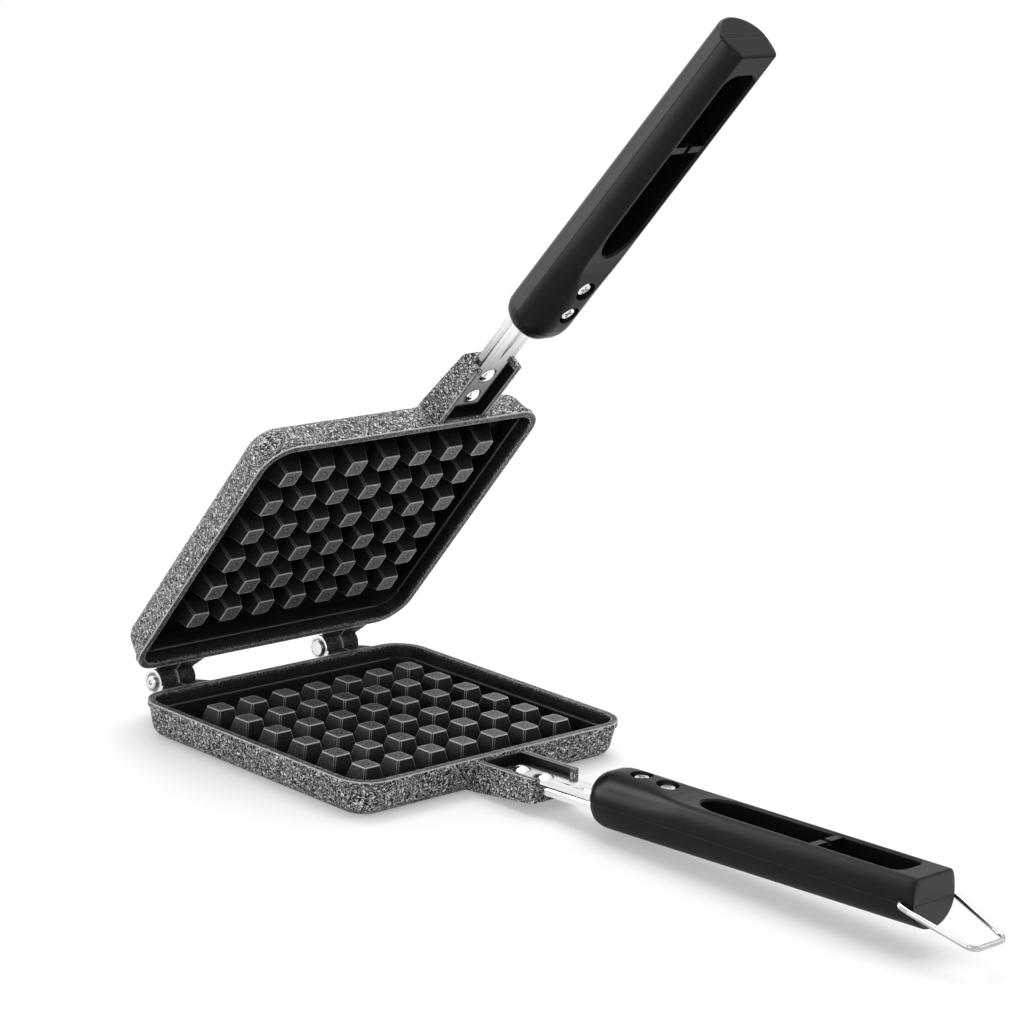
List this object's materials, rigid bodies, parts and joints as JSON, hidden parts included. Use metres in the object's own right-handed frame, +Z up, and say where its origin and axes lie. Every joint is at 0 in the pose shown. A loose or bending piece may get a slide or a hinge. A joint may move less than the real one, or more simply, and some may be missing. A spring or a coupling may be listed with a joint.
{
  "type": "stovetop waffle maker",
  "caption": "Hinged stovetop waffle maker with shallow studded cast pans, riveted steel shanks, long black moulded grips and a wire hanging loop.",
  "frame": {"origin": "centre of the lower pan's underside", "axes": "+Z up, grips toward -Y, hinge axis along X at the back (+Y)"},
  "size_m": [0.1546, 0.4087, 0.3209],
  "materials": {
    "pan_casting": "dark grey speckled coating outside, black non-stick inside",
    "steel": "bright rolled",
    "rivet": "bright",
    "pin": "turned",
    "screw": "zinc plated",
    "insert": "turned",
    "wire": "polished",
    "phenolic": "satin moulded phenolic"
  },
  "bodies": {
    "lower_half": {"hinge_pin_left": "pin", "hinge_pin_right": "pin", "lower_grip_inner": "phenolic", "lower_grip_outer": "phenolic", "lower_insert_front": "insert", "lower_insert_rear": "insert", "lower_pan": "pan_casting", "lower_rivet_front": "rivet", "lower_rivet_rear": "rivet", "lower_screw_front": "screw", "lower_screw_rear": "screw", "lower_shank": "steel"},
    "upper_half": {"upper_grip_inner": "phenolic", "upper_grip_outer": "phenolic", "upper_insert_front": "insert", "upper_insert_rear": "insert", "upper_pan": "pan_casting", "upper_rivet_front": "rivet", "upper_rivet_rear": "rivet", "upper_screw_front": "screw", "upper_screw_rear": "screw", "upper_shank": "steel"},
    "loop": {"wire_bail": "wire"}
  },
  "joints": [
    {"name": "pan_hinge", "type": "hinge", "parent": "lower_half", "child": "upper_half", "pos_m": [0, 0.0813, 0.01565], "axis": [-1, 0, 0], "range_deg": [-53.5, 126.5]},
    {"name": "loop_swing", "type": "hinge", "parent": "lower_half", "child": "loop", "pos_m": [0, -0.28884, 0.02064], "axis": [-1, 0, 0], "range_deg": [-20, 115]}
  ]
}
